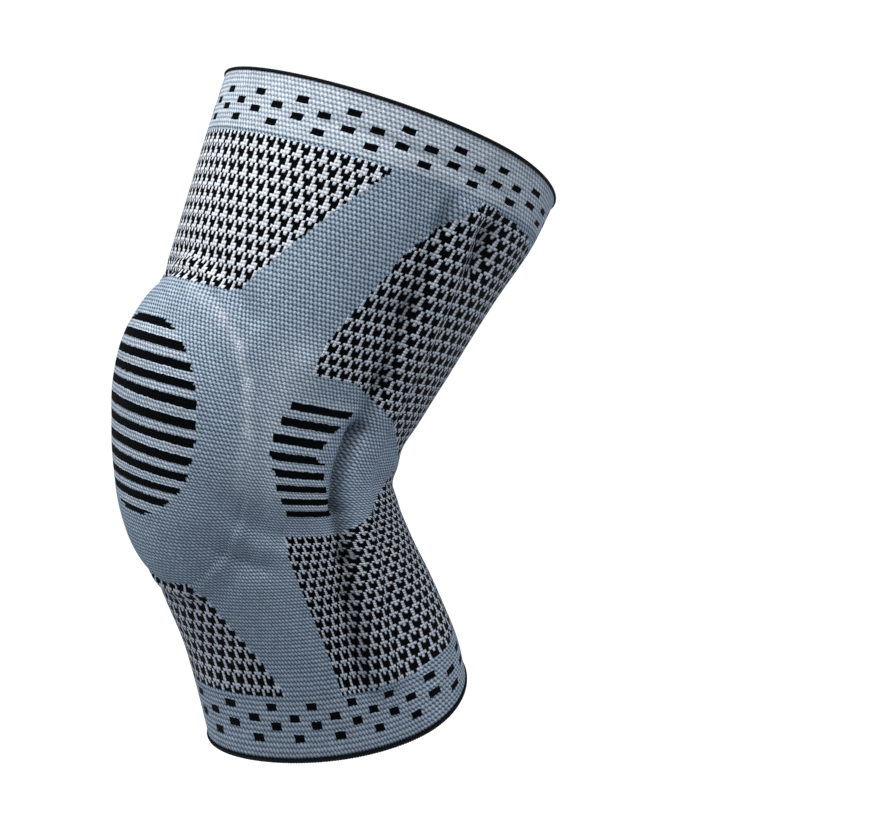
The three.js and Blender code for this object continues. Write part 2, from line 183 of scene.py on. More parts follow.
def smooth_line(at, value):
    """A cubic between the rows of a table, each row's slope being the rise between its two neighbours
    over the distance between them."""
    at = np.asarray(at, float)
    value = np.asarray(value, float)
    before = np.maximum(np.arange(len(at)) - 1, 0)
    after = np.minimum(np.arange(len(at)) + 1, len(at) - 1)
    slope = (value[after] - value[before]) / (at[after] - at[before])

    def line(knit):
        i = np.clip(np.searchsorted(at, knit, side="right") - 1, 0, len(at) - 2)
        span = at[i + 1] - at[i]
        t = (knit - at[i]) / span
        rest = 1 - t
        start = (1 + 2 * t) * rest * rest * value[i] + t * rest * rest * span * slope[i]
        end = t * t * (3 - 2 * t) * value[i + 1] - t * t * rest * span * slope[i + 1]
        return start + end

    return line


rows_at = [row[0] for row in SECTIONS]
along_at = smooth_line(rows_at, [row[2] * LIMBS[row[1]][0] for row in SECTIONS])
turn_at = smooth_line(rows_at, [row[3] * math.radians(LIMBS[row[1]][1]) for row in SECTIONS])
front_at = smooth_line(rows_at, [row[4] * LIMBS[row[1]][2] / 2 for row in SECTIONS])
back_at = smooth_line(rows_at, [row[5] * LIMBS[row[1]][2] / 2 for row in SECTIONS])
side_at = smooth_line(rows_at, [row[6] * LIMBS[row[1]][3] / 2 for row in SECTIONS])
stay_around = smooth_line([row[0] for row in STAY_LINE], [row[1] for row in STAY_LINE])


def radius_at(knit):
    """Mean of the section's four half sizes."""
    return (front_at(knit) + back_at(knit) + 2 * side_at(knit)) / 4


def edge_dip(around, knit):
    """How far a place is drawn down the limb: each edge's front or back dip x cos(around) squared, times
    the square of a share that fades from 1 at the edge to 0 at the dip's reach."""
    forward = np.cos(around)
    thigh_part = np.maximum(1 - (1 - knit) / DIP_REACH, 0) ** 2
    calf_part = np.maximum(1 - knit / DIP_REACH, 0) ** 2
    thigh_dip = np.where(forward > 0, THIGH_DIP_FRONT, THIGH_DIP_BACK)
    calf_dip = np.where(forward > 0, CALF_DIP_FRONT, CALF_DIP_BACK)
    return (thigh_dip * thigh_part - calf_dip * calf_part) * forward**2


def leg_point(around, knit):
    """An oval in the plane of each knitted row: across is side x sin(around), and forward is front or
    back x cos(around), tilted by the row's turn, about a centre line that bends as a hyperbola does."""
    along = along_at(knit) - edge_dip(around, knit)
    soft = np.hypot(along, BEND_SOFTNESS)
    thigh, calf = math.radians(THIGH_LEAN), math.radians(CALF_LEAN)
    y = math.sin(thigh) * (soft + along) / 2 + math.sin(calf) * (soft - along) / 2
    z = math.cos(thigh) * (soft + along) / 2 - math.cos(calf) * (soft - along) / 2
    forward = np.cos(around)
    reach = np.where(forward > 0, front_at(knit), back_at(knit)) * forward
    turn = turn_at(knit)
    x = side_at(knit) * np.sin(around)
    return np.stack([x, y - reach * np.cos(turn), z + reach * np.sin(turn)], -1)


def leg_normal(around, knit):
    """The cross product of a small step round the oval and a small step up the rows."""
    step = 1e-4
    low, high = np.maximum(knit - step, 0), np.minimum(knit + step, 1)
    round_it = leg_point(around + step, knit) - leg_point(around - step, knit)
    upward = leg_point(around, high) - leg_point(around, low)
    normal = np.cross(round_it, upward)
    return normal / np.linalg.norm(normal, axis=-1, keepdims=True)


front_rows = np.linspace(0, 1, 201)
front_steps = np.diff(leg_point(np.zeros(201), front_rows), axis=0)
front_lengths = np.concatenate([[0], np.cumsum(np.linalg.norm(front_steps, axis=1))])
dome_middle = np.interp(DOME_CENTRE, front_rows, front_lengths)


def dome_share(around, knit):
    """How far a place lies from the dome's centre, across and up together, 1 on its oval outline."""
    across = around * radius_at(knit) / (DOME_WIDTH / 2)
    upward = (np.interp(knit, front_rows, front_lengths) - dome_middle) / (DOME_HEIGHT / 2)
    return np.hypot(across, upward)


def dome_rise(around, knit):
    """The pad's thickness and clearance times (1 - share^crown)^rounding, of the dome's share."""
    inward = np.maximum(1 - dome_share(around, knit) ** DOME_CROWN, 0)
    return (PAD_THICKNESS + PAD_CLEARANCE) * inward**DOME_ROUNDING


def bead_rise(around, knit):
    """The knit round the dome: bell curves of the dome's share, a low bead a little outside its outline
    and a shallow groove beyond the bead."""
    share = dome_share(around, knit)
    bead = BEAD_HEIGHT * np.exp(-(((share - BEAD_PLACE) / BEAD_SPREAD) ** 2))
    return bead - GROOVE_DEPTH * np.exp(-(((share - GROOVE_PLACE) / GROOVE_SPREAD) ** 2))


def shoulder(distance, flat, width):
    """1 up to the flat distance, then a smooth step down to 0 over the width."""
    t = np.clip((distance - flat) / width, 0, 1)
    return 1 - t * t * (3 - 2 * t)


def stay_distances(around, knit):
    """Millimetres from a stay's line, round the sleeve, and past the nearer end of the stay."""
    across = np.abs(around - np.radians(stay_around(knit))) * radius_at(knit)
    past = np.maximum(np.maximum(STAY_FROM - knit, knit - STAY_TO), 0) * SLEEVE_LENGTH
    return across, past


def ridge_rise(around, knit):
    """The stay's thickness and clearance times a shoulder beside the stay's line and past its ends."""
    across, past = stay_distances(around, knit)
    beside = shoulder(across, STAY_WIDTH / 2 + CLEARANCE, STAY_SHOULDER)
    return (STAY_THICKNESS + CLEARANCE) * beside * shoulder(past, CLEARANCE, STAY_RUNOUT)


def tunnel_depth(around, knit):
    """How much deeper the knit's inner face lies where it covers a stay: the stay's thickness and its
    clearances times a shoulder beside the stay and past its ends. The tunnel isn't hollowed out."""
    across, past = stay_distances(around, knit)
    beside = shoulder(across, STAY_WIDTH / 2 + TUNNEL_EASE, TUNNEL_SLOPE)
    return (STAY_THICKNESS + 3 * CLEARANCE) * beside * shoulder(past, TUNNEL_END, TUNNEL_SLOPE)


def fold_rise(around, knit, folds):
    """The sum over the folds of rise x exp(-(distance to the fold's line / its half width) squared)."""
    radius = radius_at(knit)
    across, upward = around * radius, knit * SLEEVE_LENGTH
    total = np.zeros(np.broadcast(around, knit).shape)
    for from_around, from_knit, to_around, to_knit, spread, rise in folds:
        x0, y0 = math.radians(from_around) * radius, from_knit * SLEEVE_LENGTH
        x1, y1 = math.radians(to_around) * radius, to_knit * SLEEVE_LENGTH
        run = (x1 - x0) ** 2 + (y1 - y0) ** 2
        share = np.clip(((across - x0) * (x1 - x0) + (upward - y0) * (y1 - y0)) / run, 0, 1)
        distance = np.hypot(across - x0 - share * (x1 - x0), upward - y0 - share * (y1 - y0))
        widths = distance / (spread * WALL)
        total += rise * FOLD_DEPTH * np.exp(-widths * widths)
    return total


def fabric_point(around, knit, below):
    """The leg's form raised along its normal by the dome, the ridges and the folds, less the depth below
    the outer face. Both sides are alike, so the rise depends on the size of the angle."""
    side = np.abs(around)
    rise = dome_rise(side, knit) + bead_rise(side, knit) + ridge_rise(side, knit)
    rise = rise + fold_rise(side, knit, FOLDS + CREASES)
    return leg_point(around, knit) + leg_normal(around, knit) * (rise - below)[..., None]


# The stitches: wales run up the sleeve and courses run round it. Each table gives a share of them and
# where it lies: courses as a share of the knitted rows, wales as degrees round the calf and the thigh.
WALES = 288
COURSES = 224
INNER_STEP = 4  # courses from one row of the inner face to the next
BLEND_FROM = 0.3  # share of the rows where the calf's wales start to turn into the thigh's
BLEND_OVER = 0.3  # share of the rows that this takes
COURSE_LINE = (
    (0.0, 0.0),
    (0.16, 0.185),
    (0.32, 0.37),
    (0.485, 0.505),
    (0.655, 0.64),
    (0.83, 0.82),
    (1.0, 1.0),
)
WALE_LINE = (
    (0.0, 0.0, 0.0),
    (0.115, 25.0, 18.6),
    (0.34, 61.0, 55.0),
    (0.556, 95.0, 90.0),
    (0.68, 128.0, 110.0),
    (0.745, 145.0, 124.5),
    (1.0, 180.0, 180.0),
)
course_at = smooth_line([row[0] for row in COURSE_LINE], [row[1] for row in COURSE_LINE])
wale_on_calf = smooth_line([row[0] for row in WALE_LINE], [row[1] for row in WALE_LINE])
wale_on_thigh = smooth_line([row[0] for row in WALE_LINE], [row[2] for row in WALE_LINE])


def wale_around(wale, knit):
    """Degrees round the sleeve of a wale counted from the front line: the calf's table below the knee,
    the thigh's above it, and a smooth blend of the two between."""
    share = np.abs(wale) / (WALES / 2)
    on_thigh = 1 - shoulder(knit, BLEND_FROM, BLEND_OVER)
    return np.sign(wale) * (wale_on_calf(share) * (1 - on_thigh) + wale_on_thigh(share) * on_thigh)


def course_knit(around, knit):
    """The share of the rows where a course lies: at the knee the worn sleeve is twisted a little, so that
    a course falls by the drop x the sine of the angle, which fades up and down as a bell curve does."""
    near_knee = np.exp(-(((knit - DROP_PLACE) / DROP_SPREAD) ** 2))
    return np.clip(knit - COURSE_DROP / SLEEVE_LENGTH * np.sin(around) * near_knee, 0, 1)


# The pattern is charted in places: 136 steps from the front line to the back, 188 from calf to thigh
PLACE_WALES = 136
PLACE_COURSES = 188
wale = np.arange(WALES)[None, :] - WALES // 2
course = np.arange(COURSES)[:, None]
middle_knit = course_at((course + 0.5) / COURSES)
middle_around = wale_around(wale + 0.5, middle_knit)
level = middle_knit[:, 0] * PLACE_COURSES
up = course_knit(np.radians(middle_around), middle_knit) * PLACE_COURSES
away = np.abs(middle_around) / 180 * PLACE_WALES

# One repeat of the houndstooth, from its top course down: # is black and . is white. The tooth is slimmer
# on the front of the thigh.
TOOTH = ("#.#.", "###.", "###.", ".#..")
SLIM_TOOTH = ("#.#.", "###.", ".##.", ".#..")


def houndstooth(tooth, top):
    """The repeat of 4 wales by 4 courses counted down from the top place, each second row of teeth
    being shifted by half a repeat."""
    chart = np.array([[mark == "#" for mark in line] for line in tooth])
    down = np.count_nonzero(level < top) - 1 - course
    return chart[down % 4, (wale + 2 * ((down // 4) % 2)) % 4]


def dashes(low):
    """Four lines of dashes, two courses high and four wales long in a repeat of sixteen. Every second
    line is shifted by half a repeat, and the lines begin at the given courses above the low place."""
    from_low = course - np.count_nonzero(level < low)
    marks = np.zeros(up.shape, dtype=bool)
    for line, start in enumerate((0, 3, 5, 8)):
        in_line = (from_low >= start) & (from_low < start + 2)
        marks |= in_line & ((wale + 8 * (line % 2) + 3) % 16 < 4)
    return marks


def bars(low):
    """Three courses of black and three of light, counted up from the low place."""
    return (course - np.count_nonzero(level < low)) % 6 < 3


# Shares of black and of white yarn by stitch; further down they also take the painted crease shade and the
# painted highlight
black_and_painted_shade = np.zeros((COURSES, WALES))
white_and_painted_highlight = np.zeros((COURSES, WALES))

# Houndstooth panels: on the front of the thigh, on its sides, on the sides of the calf and on its shin
thigh_front = (up > 134) & (up < 172) & (away < 23 + (up - 135) * 25 / 38)
panel_rows = (114, 125, 129, 134, 140, 146, 154, 158, 164, 171, 173)
panel_wales = (52, 52, 53, 54, 56, 58, 60.5, 63, 67, 72, 73)
thigh_side = (
    (up < 172 - np.clip((away - 73) / 27, 0, 1) * 2.5)
    & (up > np.maximum(115 - np.maximum(away - 66, 0) * 0.5, 94))
    & (away > np.interp(up, panel_rows, panel_wales))
)
calf_side = (
    (up > 15 + np.clip((away - 60) / 40, 0, 1) * 2)
    & (up < np.minimum(70 + np.maximum(away - 68, 0) * 0.6, 94))
    & (away > 48.5)
)
calf_front = (up > 15.5) & (up < 53) & (away < 13.5 + (50 - up) * 0.5)
for panel, tooth, top, pale in (
    (thigh_front, SLIM_TOOTH, 172, 1.0),
    (thigh_side, TOOTH, 172, 0.75),
    (calf_side, TOOTH, 70, 0.65),
    (calf_front, TOOTH, 53, 0.75),
):
    toothed = houndstooth(tooth, top)
    black_and_painted_shade[panel & toothed] = 1
    white_and_painted_highlight[panel & ~toothed] = pale

# Stripes over the kneecap, in an oval, and beside the knee, in a chevron whose front and back edges are
# given as places by the course
courses_up = level[:, None]
oval = 24.5 * np.sqrt(np.maximum(1 - ((courses_up - 98.9) / 23.2) ** 2, 0))
kneecap = (courses_up > 75) & (courses_up < 122) & (away < oval)
chevron_rows = (80, 96.5, 97, 99, 112)
chevron_front = (51, 46.5, 45.7, 45.7, 50.5)
chevron_back = (68, 64, 61.2, 61.2, 71.5)
beside = (
    (courses_up > 80)
    & (courses_up < 111)
    & (away > np.interp(courses_up, chevron_rows, chevron_front))
    & (away < np.interp(courses_up, chevron_rows, chevron_back))
)
black_and_painted_shade[kneecap & bars(75)] = 1
black_and_painted_shade[beside & bars(80)] = 1
white_and_painted_highlight[kneecap & ~bars(75)] = 0.3
white_and_painted_highlight[beside & ~bars(80)] = 0.25

# Painted highlight and painted crease shade. Then the margins beyond the panels, each with its own share of
# white, and in them bands of dashes below the thigh edge and above the calf's
CREASE_SHADE_MOST = 0.56
THIGH_MARGIN_FROM, THIGH_MARGIN_WHITE, THIGH_DASHES_FROM = 172.5, 0.48, 175
CALF_MARGIN_TO, CALF_MARGIN_WHITE, CALF_DASHES_FROM = 14, 0.1, 4
# Painted highlight: more white where light falls on the swelling and on the dome's rim
white_and_painted_highlight = np.maximum(white_and_painted_highlight, fold_rise(np.radians(np.abs(middle_around)), up / PLACE_COURSES, PAINTED_HIGHLIGHTS))
white_and_painted_highlight = np.minimum(white_and_painted_highlight, 1)
# Painted crease shade: more black in the creases, where shadow falls, up to a most
crease_shade = fold_rise(np.radians(np.abs(middle_around)), up / PLACE_COURSES, PAINTED_CREASE_SHADE)
black_and_painted_shade = np.maximum(black_and_painted_shade, np.minimum(crease_shade, CREASE_SHADE_MOST))
white_and_painted_highlight[up > THIGH_MARGIN_FROM] = THIGH_MARGIN_WHITE
white_and_painted_highlight[up < CALF_MARGIN_TO] = CALF_MARGIN_WHITE
for low in (THIGH_DASHES_FROM, CALF_DASHES_FROM):
    black_and_painted_shade[dashes(low)] = 1

# Rows of points: up the outer face, one per course, and back down the inner face, one per four courses.
# Each point of the outer face lies off its even place by a small random share of a stitch.
STITCH_SWAY = 0.07
outer_knit = np.clip(course_at(np.arange(COURSES + 1) / COURSES), 0, 1)
inner_knit = outer_knit[::-INNER_STEP]
edges = np.arange(WALES)[None, :] - WALES // 2
chance = np.random.default_rng(5)
sway_round = chance.normal(0, STITCH_SWAY, (COURSES + 1, WALES))
sway_up = chance.normal(0, STITCH_SWAY, (COURSES + 1, WALES)) / COURSES
sway_up[[0, -1]] = 0
outer_around = np.radians(wale_around(edges + sway_round, outer_knit[:, None]))
inner_around = np.radians(wale_around(edges, inner_knit[:, None]))
outer_rows = course_knit(outer_around, np.clip(outer_knit[:, None] + sway_up, 0, 1))
inner_rows = course_knit(inner_around, inner_knit[:, None])
outer_rows[[0, -1]] = [[0], [1]]
inner_rows[[0, -1]] = [[1], [0]]
outer = fabric_point(outer_around, outer_rows, np.zeros(outer_rows.shape))
inner = fabric_point(inner_around, inner_rows, WALL + tunnel_depth(np.abs(inner_around), inner_rows))
sleeve_rows = np.concatenate([outer, inner])


def add_grid(name, points, loops_rows, loops_columns, uv_rows, uv_columns):
    """A surface of quads over a grid of points, closed round either way. Corner UVs run from the row
    above and the column beside, so that the last column and row don't wrap back."""
    rows, size = points.shape[:2]
    row_count = rows if loops_rows else rows - 1
    column_count = size if loops_columns else size - 1
    r, c = np.meshgrid(np.arange(row_count), np.arange(column_count), indexing="ij")
    r, c = r.ravel(), c.ravel()
    r_next, c_next = (r + 1) % rows, (c + 1) % size
    starts = [r * size + c, r * size + c_next, r_next * size + c_next, r_next * size + c]
    corners = np.stack(starts, 1)
    mesh = bpy.data.meshes.new(name)
    mesh.vertices.add(rows * size)
    mesh.vertices.foreach_set("co", (points.reshape(-1, 3) / 1000).astype(np.float32).ravel())
    mesh.loops.add(corners.size)
    mesh.loops.foreach_set("vertex_index", corners.astype(np.int32).ravel())
    mesh.polygons.add(len(corners))
    mesh.polygons.foreach_set("loop_start", np.arange(0, corners.size, 4, dtype=np.int32))
    mesh.update(calc_edges=True)
    uv = np.stack(
        [
            np.stack([uv_columns[c], uv_rows[r]], 1),
            np.stack([uv_columns[c + 1], uv_rows[r]], 1),
            np.stack([uv_columns[c + 1], uv_rows[r + 1]], 1),
            np.stack([uv_columns[c], uv_rows[r + 1]], 1),
        ],
        1,
    )
    layer = mesh.uv_layers.new(name="stitches")
    layer.data.foreach_set("uv", uv.astype(np.float32).ravel())
    mesh.validate()
    piece = bpy.data.objects.new(name, mesh)
    bpy.context.scene.collection.objects.link(piece)
    return piece


uv_outer = np.arange(COURSES + 1) / COURSES
uv_up = np.concatenate([uv_outer, uv_outer[::-INNER_STEP], [0]])
sleeve = add_grid("sleeve_knit", sleeve_rows, True, True, uv_up, np.arange(WALES + 1) / WALES)
# The back of a jacquard shows the yarns the other way round: white where the face is black
inner_black = np.zeros((len(inner_knit) + 1, WALES))
inner_white = np.zeros((len(inner_knit) + 1, WALES))
# The face's painted highlight and painted crease shade come over to the back too, the other way round
inner_black[1:-1] = white_and_painted_highlight[::-1].reshape(-1, INNER_STEP, WALES).mean(1)
inner_white[1:-1] = black_and_painted_shade[::-1].reshape(-1, INNER_STEP, WALES).mean(1)
flat_rim = np.zeros((COURSES + len(inner_knit) + 1, WALES), dtype=bool)
flat_rim[[COURSES, -1]] = True
# The black share carries the painted crease shade too, and the white share the painted highlight
for name, values in (
    ("black_yarn_and_painted_shade", np.concatenate([black_and_painted_shade, inner_black])),
    ("white_yarn_and_painted_highlight", np.concatenate([white_and_painted_highlight, inner_white])),
):
    layer = sleeve.data.attributes.new(name, "FLOAT", "FACE")
    layer.data.foreach_set("value", values.astype(np.float32).ravel())
sharp = sleeve.data.attributes.new("sharp_face", "BOOLEAN", "FACE")
sharp.data.foreach_set("value", flat_rim.ravel())


def linear(colour):
    """An sRGB hex colour as linear red, green, blue and 1."""
    parts = [int(colour[i : i + 2], 16) / 255 for i in (1, 3, 5)]
    return [p / 12.92 if p <= 0.04045 else ((p + 0.055) / 1.055) ** 2.4 for p in parts] + [1]


def node(material, kind, inputs=None, **settings):
    """Adds one node. settings are its own properties, and inputs gives each socket, by name or number,
    a value or the output socket that is linked to it."""
    made = material.node_tree.nodes.new(kind)
    for key, value in settings.items():
        setattr(made, key, value)
    for key, value in (inputs or {}).items():
        if isinstance(value, bpy.types.NodeSocket):
            material.node_tree.links.new(value, made.inputs[key])
        else:
            made.inputs[key].default_value = value
    return made


def new_material(name):
    """An empty material with nothing but its output."""
    material = bpy.data.materials.new(name)
    material.use_nodes = True
    material.node_tree.nodes.clear()
    return material


# Jacquard knit of textured nylon: matt, with small plump stitches, dark between them, and a soft fuzz
BLUE_YARN = "#9BABBA"
WHITE_YARN = "#CED1D6"
BLACK_YARN = "#020306"
STITCH_RELIEF = 0.0008

knit = new_material("jacquard nylon knit")
uv = node(knit, "ShaderNodeUVMap", uv_map="stitches")
stitches = node(knit, "ShaderNodeMapping", {"Vector": uv.outputs[0], "Scale": (WALES, COURSES, 1)})
# The black share also holds painted crease shade, and the white share painted highlight
black_and_shade_part = node(knit, "ShaderNodeAttribute", attribute_name="black_yarn_and_painted_shade")
white_and_highlight_part = node(knit, "ShaderNodeAttribute", attribute_name="white_yarn_and_painted_highlight")
charted = node(
    knit, "ShaderNodeMath", {0: black_and_shade_part.outputs["Fac"], 1: white_and_highlight_part.outputs["Fac"]}, operation="MAXIMUM"
)
plain = node(knit, "ShaderNodeMath", {0: charted.outputs[0], 1: 0.6}, operation="LESS_THAN")
# The plain knit's stitches are too fine to show at this distance, so it is drawn with three for every four
drawn_share = node(knit, "ShaderNodeMath", {0: plain.outputs[0], 1: -0.25, 2: 1.0}, operation="MULTIPLY_ADD")
drawn = node(
    knit, "ShaderNodeVectorMath", {0: stitches.outputs[0], "Scale": drawn_share.outputs[0]}, operation="SCALE"
)
split = node(knit, "ShaderNodeSeparateXYZ", {0: drawn.outputs[0]})
# Each stitch leans: its wale place is shifted with its height in the course
course_part = node(knit, "ShaderNodeMath", {0: split.outputs[1]}, operation="FRACT")
lean = node(
    knit,
    "ShaderNodeMath",
    {0: course_part.outputs[0], 1: 0.22, 2: split.outputs[0]},
    operation="MULTIPLY_ADD",
)
# In the plain knit every second course is shifted by half a wale
half_course = node(knit, "ShaderNodeMath", {0: split.outputs[1], 1: 0.5}, operation="MULTIPLY")
half_part = node(knit, "ShaderNodeMath", {0: half_course.outputs[0]}, operation="FRACT")
second = node(knit, "ShaderNodeMath", {0: half_part.outputs[0], 1: 0.5}, operation="GREATER_THAN")
shifted = node(knit, "ShaderNodeMath", {0: second.outputs[0], 1: plain.outputs[0]}, operation="MULTIPLY")
placed = node(
    knit, "ShaderNodeMath", {0: shifted.outputs[0], 1: 0.5, 2: lean.outputs[0]}, operation="MULTIPLY_ADD"
)
wale_turn = node(knit, "ShaderNodeMath", {0: placed.outputs[0], 1: 2 * math.pi}, operation="MULTIPLY")
course_turn = node(knit, "ShaderNodeMath", {0: split.outputs[1], 1: 2 * math.pi}, operation="MULTIPLY")
wale_wave = node(knit, "ShaderNodeMath", {0: wale_turn.outputs[0]}, operation="COSINE")
course_wave = node(knit, "ShaderNodeMath", {0: course_turn.outputs[0]}, operation="COSINE")
# Height of a stitch: 1 at its middle, about a half between neighbours, 0 at the hole between four
across_part = node(
    knit, "ShaderNodeMath", {0: wale_wave.outputs[0], 1: -0.28, 2: 0.5}, operation="MULTIPLY_ADD"
)
stitch_height = node(
    knit,
    "ShaderNodeMath",
    {0: course_wave.outputs[0], 1: -0.22, 2: across_part.outputs[0]},
    operation="MULTIPLY_ADD",
)
plump = node(knit, "ShaderNodeMath", {0: stitch_height.outputs[0], 1: 0.7}, operation="POWER", use_clamp=True)
place = node(knit, "ShaderNodeTexCoord")
fuzz = node(knit, "ShaderNodeTexNoise", {"Vector": place.outputs["Object"], "Scale": 1400.0, "Detail": 3.0})
patches = node(knit, "ShaderNodeTexNoise", {"Vector": place.outputs["Object"], "Scale": 45.0, "Detail": 3.0})
cell = node(knit, "ShaderNodeVectorMath", {0: drawn.outputs[0]}, operation="FLOOR")
each = node(knit, "ShaderNodeTexWhiteNoise", {"Vector": cell.outputs[0]}, noise_dimensions="2D")
with_white = node(
    knit,
    "ShaderNodeMix",
    {"Factor": white_and_highlight_part.outputs["Fac"], "A": linear(BLUE_YARN), "B": linear(WHITE_YARN)},
    data_type="RGBA",
)
with_black = node(
    knit,
    "ShaderNodeMix",
    {"Factor": black_and_shade_part.outputs["Fac"], "A": with_white.outputs["Result"], "B": linear(BLACK_YARN)},
    data_type="RGBA",
)
# Painted shade and highlight: darker in the holes between stitches, partly from the dark back yarn and partly
# as painted shade, and lighter on each stitch's crown as a painted highlight. Also a little lighter or darker
# from stitch to stitch and patch to patch
painted_shade_floor = node(
    knit, "ShaderNodeMapRange", {"Value": white_and_highlight_part.outputs["Fac"], "To Min": 0.15, "To Max": 0.8}
)
# Painted shade in the holes and painted highlight on the crowns, by the stitch's height
painted_stitch_shade = node(
    knit,
    "ShaderNodeMapRange",
    {
        "Value": stitch_height.outputs[0],
        "From Min": 0.0,
        "From Max": 0.9,
        "To Min": painted_shade_floor.outputs[0],
        "To Max": 1.36,
    },
    interpolation_type="SMOOTHSTEP",
)
each_part = node(
    knit, "ShaderNodeMapRange", {"Value": each.outputs["Value"], "To Min": 0.88, "To Max": 1.08}
)
patch_part = node(
    knit,
    "ShaderNodeMapRange",
    {"Value": patches.outputs[0], "From Min": 0.3, "From Max": 0.7, "To Min": 0.92, "To Max": 1.06},
)
fuzz_part = node(
    knit,
    "ShaderNodeMapRange",
    {"Value": fuzz.outputs[0], "From Min": 0.3, "From Max": 0.7, "To Min": 0.9, "To Max": 1.08},
)
shade = node(knit, "ShaderNodeMath", {0: painted_stitch_shade.outputs[0], 1: each_part.outputs[0]}, operation="MULTIPLY")
shade = node(knit, "ShaderNodeMath", {0: shade.outputs[0], 1: patch_part.outputs[0]}, operation="MULTIPLY")
shade = node(knit, "ShaderNodeMath", {0: shade.outputs[0], 1: fuzz_part.outputs[0]}, operation="MULTIPLY")
shaded = node(
    knit,
    "ShaderNodeVectorMath",
    {0: with_black.outputs["Result"], "Scale": shade.outputs[0]},
    operation="SCALE",
)
relief = node(
    knit, "ShaderNodeMath", {0: fuzz.outputs[0], 1: 0.25, 2: plump.outputs[0]}, operation="MULTIPLY_ADD"
)
bump = node(knit, "ShaderNodeBump", {"Strength": 0.8, "Distance": STITCH_RELIEF, "Height": relief.outputs[0]})
cloth = node(
    knit,
    "ShaderNodeBsdfPrincipled",
    {
        "Base Color": shaded.outputs[0],
        "Roughness": 0.85,
        "IOR": 1.5,
        "Specular IOR Level": 0.04,
        "Normal": bump.outputs[0],
    },
)
node(knit, "ShaderNodeOutputMaterial", {"Surface": cloth.outputs[0]})
sleeve.data.materials.append(knit)
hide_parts("knit_sleeve")
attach(sleeve, "root")

# The kneecap pad: one oval of soft silicone gel, poured in a mould, thick in the middle and thin at its
# rim. It lies in a pocket behind the dome, which the knit over it presses into shape.
PAD_MARGIN = 8.0
PAD_SPOKES = 96
PAD_RINGS = 24
DISH_DEPTH = 1.6


def pad_face(raised):
    """A round grid from the rim to the middle: the outer face follows the dome from inside, and the
    inner one lies level with the fabric's inner face, with a shallow dish for the kneecap."""
    ring = np.sin(np.linspace(1, 0.02, PAD_RINGS) * math.pi / 2)[:, None]
    turn = (np.arange(PAD_SPOKES) / PAD_SPOKES * 2 * math.pi)[None, :]
    across = -ring * (DOME_WIDTH / 2 - PAD_MARGIN) * np.sin(turn)
    upward = -ring * (DOME_HEIGHT / 2 - PAD_MARGIN) * np.cos(turn)
    knit_at = np.interp(dome_middle + upward, front_lengths, front_rows)
    around = across / radius_at(knit_at)
    side = np.abs(around)
    rise = dome_rise(side, knit_at) + fold_rise(side, knit_at, FOLDS) - PAD_CLEARANCE
    rise = rise if raised else DISH_DEPTH * shoulder(ring + 0 * turn, 0.3, 0.5)
    return leg_point(around, knit_at) + leg_normal(around, knit_at) * (rise - WALL)[..., None]


pad_points = np.concatenate([pad_face(True)[::-1], pad_face(False)])
pad_points[[0, -1]] = pad_points[[0, -1]].mean(1, keepdims=True)
pad_levels = np.linspace(0, 1, len(pad_points))
pad = add_grid("kneecap_pad", pad_points, False, True, pad_levels, np.arange(PAD_SPOKES + 1) / PAD_SPOKES)
poles = bmesh.new()
poles.from_mesh(pad.data)
bmesh.ops.remove_doubles(poles, verts=poles.verts, dist=1e-6)
poles.to_mesh(pad.data)
poles.free()

# Silicone gel: smooth and satin, slightly cloudy, with a fine moulded grain
GEL = "#B9C4D0"
gel = new_material("moulded silicone gel")
gel_place = node(gel, "ShaderNodeTexCoord")
gel_cloud = node(
    gel, "ShaderNodeTexNoise", {"Vector": gel_place.outputs["Object"], "Scale": 60.0, "Detail": 2.0}
)
gel_grain = node(
    gel, "ShaderNodeTexNoise", {"Vector": gel_place.outputs["Object"], "Scale": 1500.0, "Detail": 2.0}
)
gel_shade = node(gel, "ShaderNodeMapRange", {"Value": gel_cloud.outputs[0], "To Min": 0.88, "To Max": 1.06})
gel_tint = node(
    gel, "ShaderNodeVectorMath", {0: linear(GEL)[:3], "Scale": gel_shade.outputs[0]}, operation="SCALE"
)
gel_bump = node(gel, "ShaderNodeBump", {"Strength": 0.4, "Distance": 0.0001, "Height": gel_grain.outputs[0]})
gel_body = node(
    gel,
    "ShaderNodeBsdfPrincipled",
    {
        "Base Color": gel_tint.outputs[0],
        "Roughness": 0.42,
        "IOR": 1.41,
        "Subsurface Weight": 0.2,
        "Subsurface Scale": 0.003,
        "Normal": gel_bump.outputs[0],
    },
)
node(gel, "ShaderNodeOutputMaterial", {"Surface": gel_body.outputs[0]})
pad.data.materials.append(gel)
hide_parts("patella_pad")
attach(pad, "root")

# The side stays: two flat strips of sprung steel with rounded ends, cut from rolled strip and slid into
# the tunnels at the sides, which keep the sleeve from rolling down. Their CAD solids are kept.
STEEL = "#9EA2A6"
steel = new_material("rolled spring steel")
steel_place = node(steel, "ShaderNodeTexCoord")
steel_lines = node(
    steel, "ShaderNodeMapping", {"Vector": steel_place.outputs["Object"], "Scale": (2500.0, 2500.0, 60.0)}
)
steel_grain = node(
    steel, "ShaderNodeTexNoise", {"Vector": steel_lines.outputs[0], "Scale": 1.0, "Detail": 2.0}
)
steel_rough = node(
    steel, "ShaderNodeMapRange", {"Value": steel_grain.outputs[0], "To Min": 0.25, "To Max": 0.42}
)
steel_bump = node(
    steel, "ShaderNodeBump", {"Strength": 0.2, "Distance": 0.00005, "Height": steel_grain.outputs[0]}
)
steel_body = node(
    steel,
    "ShaderNodeBsdfPrincipled",
    {
        "Base Color": linear(STEEL),
        "Metallic": 1.0,
        "Roughness": steel_rough.outputs[0],
        "Normal": steel_bump.outputs[0],
    },
)
node(steel, "ShaderNodeOutputMaterial", {"Surface": steel_body.outputs[0]})
